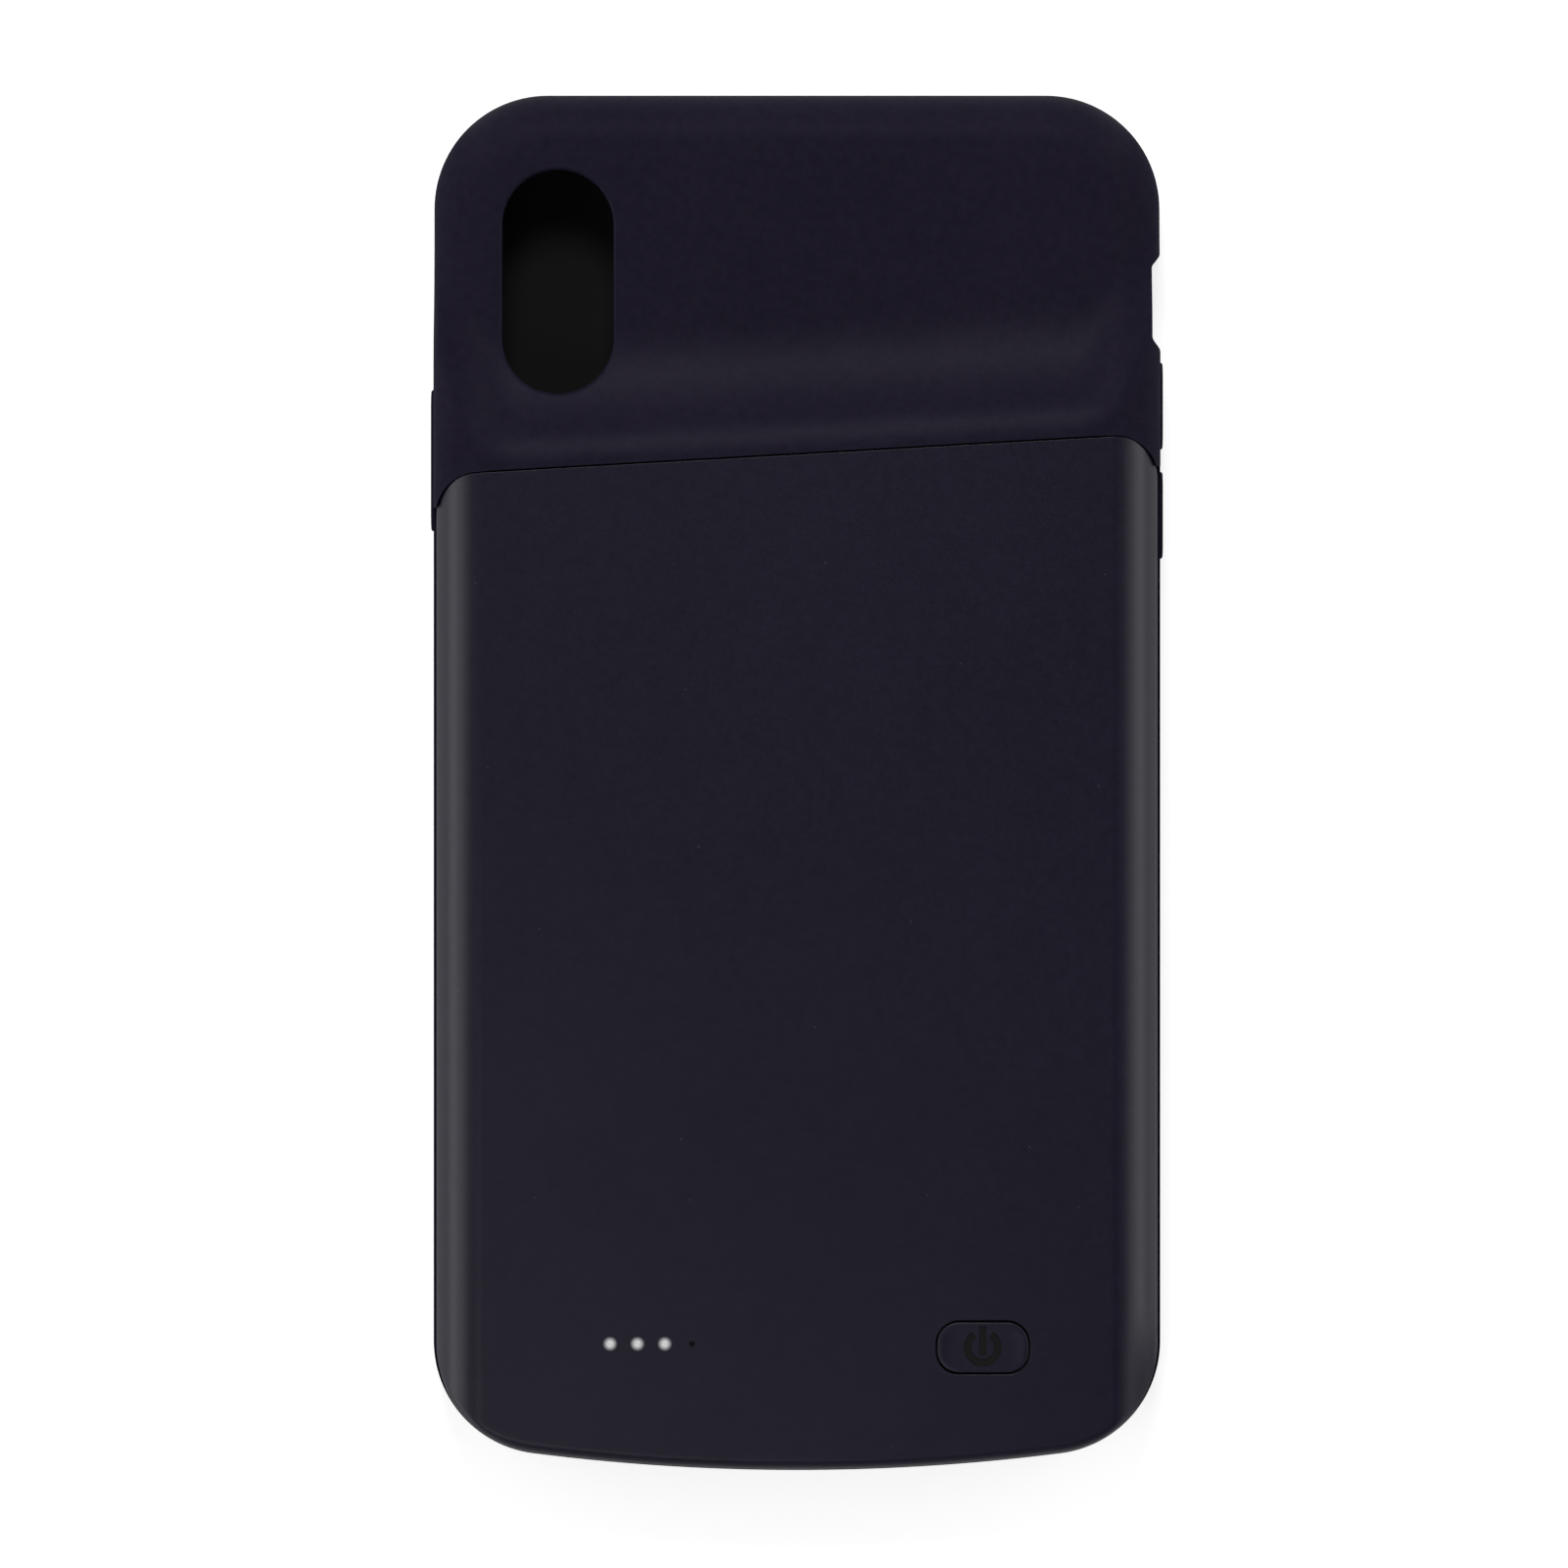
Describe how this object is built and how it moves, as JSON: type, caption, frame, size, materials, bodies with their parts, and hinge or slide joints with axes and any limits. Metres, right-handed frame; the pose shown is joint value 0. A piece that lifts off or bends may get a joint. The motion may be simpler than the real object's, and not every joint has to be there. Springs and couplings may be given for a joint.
{
  "type": "battery phone case",
  "caption": "Slim soft-edged phone case with a battery housing behind a slanted seam, a camera window, charge lights and a power button on its back, and a plug and port in its chin.",
  "frame": {"origin": "centre of the footprint, on the surface that the front rim rests on", "axes": "+Z out of the back, +Y towards the camera end, +X to the right as the back is seen"},
  "size_m": [0.0808, 0.1515, 0.016],
  "materials": {
    "soft_silicone": "matt soft-touch silicone",
    "cover_plastic": "satin soft-touch coat",
    "tray_plastic": "fine matt moulding",
    "cell_pouch": "laminated pouch foil",
    "tape": "paper-white tape",
    "tab_metal": "nickel strip",
    "circuit_board": "solder mask",
    "lead_red": "wire insulation",
    "lead_black": "wire insulation",
    "screw_steel": "plated steel",
    "led_resin": "clear resin",
    "clear_guide": "clear moulding",
    "button_plastic": "satin soft-touch coat",
    "switch_housing": "moulded",
    "switch_plunger": "moulded",
    "chip_resin": "moulded resin",
    "ferrite": "sintered ferrite",
    "capacitor_ceramic": "fired ceramic",
    "connector_plastic": "moulded",
    "connector_steel": "drawn steel",
    "flex_film": "amber film"
  },
  "bodies": {
    "case": {"soft_shell": "soft_silicone", "battery_cover": "cover_plastic", "inner_tray": "tray_plastic", "battery_cell": "cell_pouch", "cell_tape": "tape", "cell_tabs": "tab_metal", "protection_board": "circuit_board", "lead_positive": "lead_red", "lead_negative": "lead_black", "main_board": "circuit_board", "board_screws": "screw_steel", "led_chips": "led_resin", "light_guide": "clear_guide", "switch_body": "switch_housing", "charge_chip": "chip_resin", "boost_inductor": "ferrite", "capacitors": "capacitor_ceramic", "chin_board": "circuit_board", "plug_base": "connector_plastic", "plug_shell": "connector_steel", "plug_liner": "connector_plastic", "port_shell": "connector_steel", "port_tongue": "connector_plastic", "flex_cable": "flex_film"},
    "button": {"power_button": "button_plastic", "switch_plunger": "switch_plunger"}
  },
  "joints": [
    {"name": "power_button_press", "type": "slide", "parent": "case", "child": "button", "axis": [0, 0, -1], "range_m": [0, 0.0003], "stiffness_N_per_m": 5000}
  ]
}
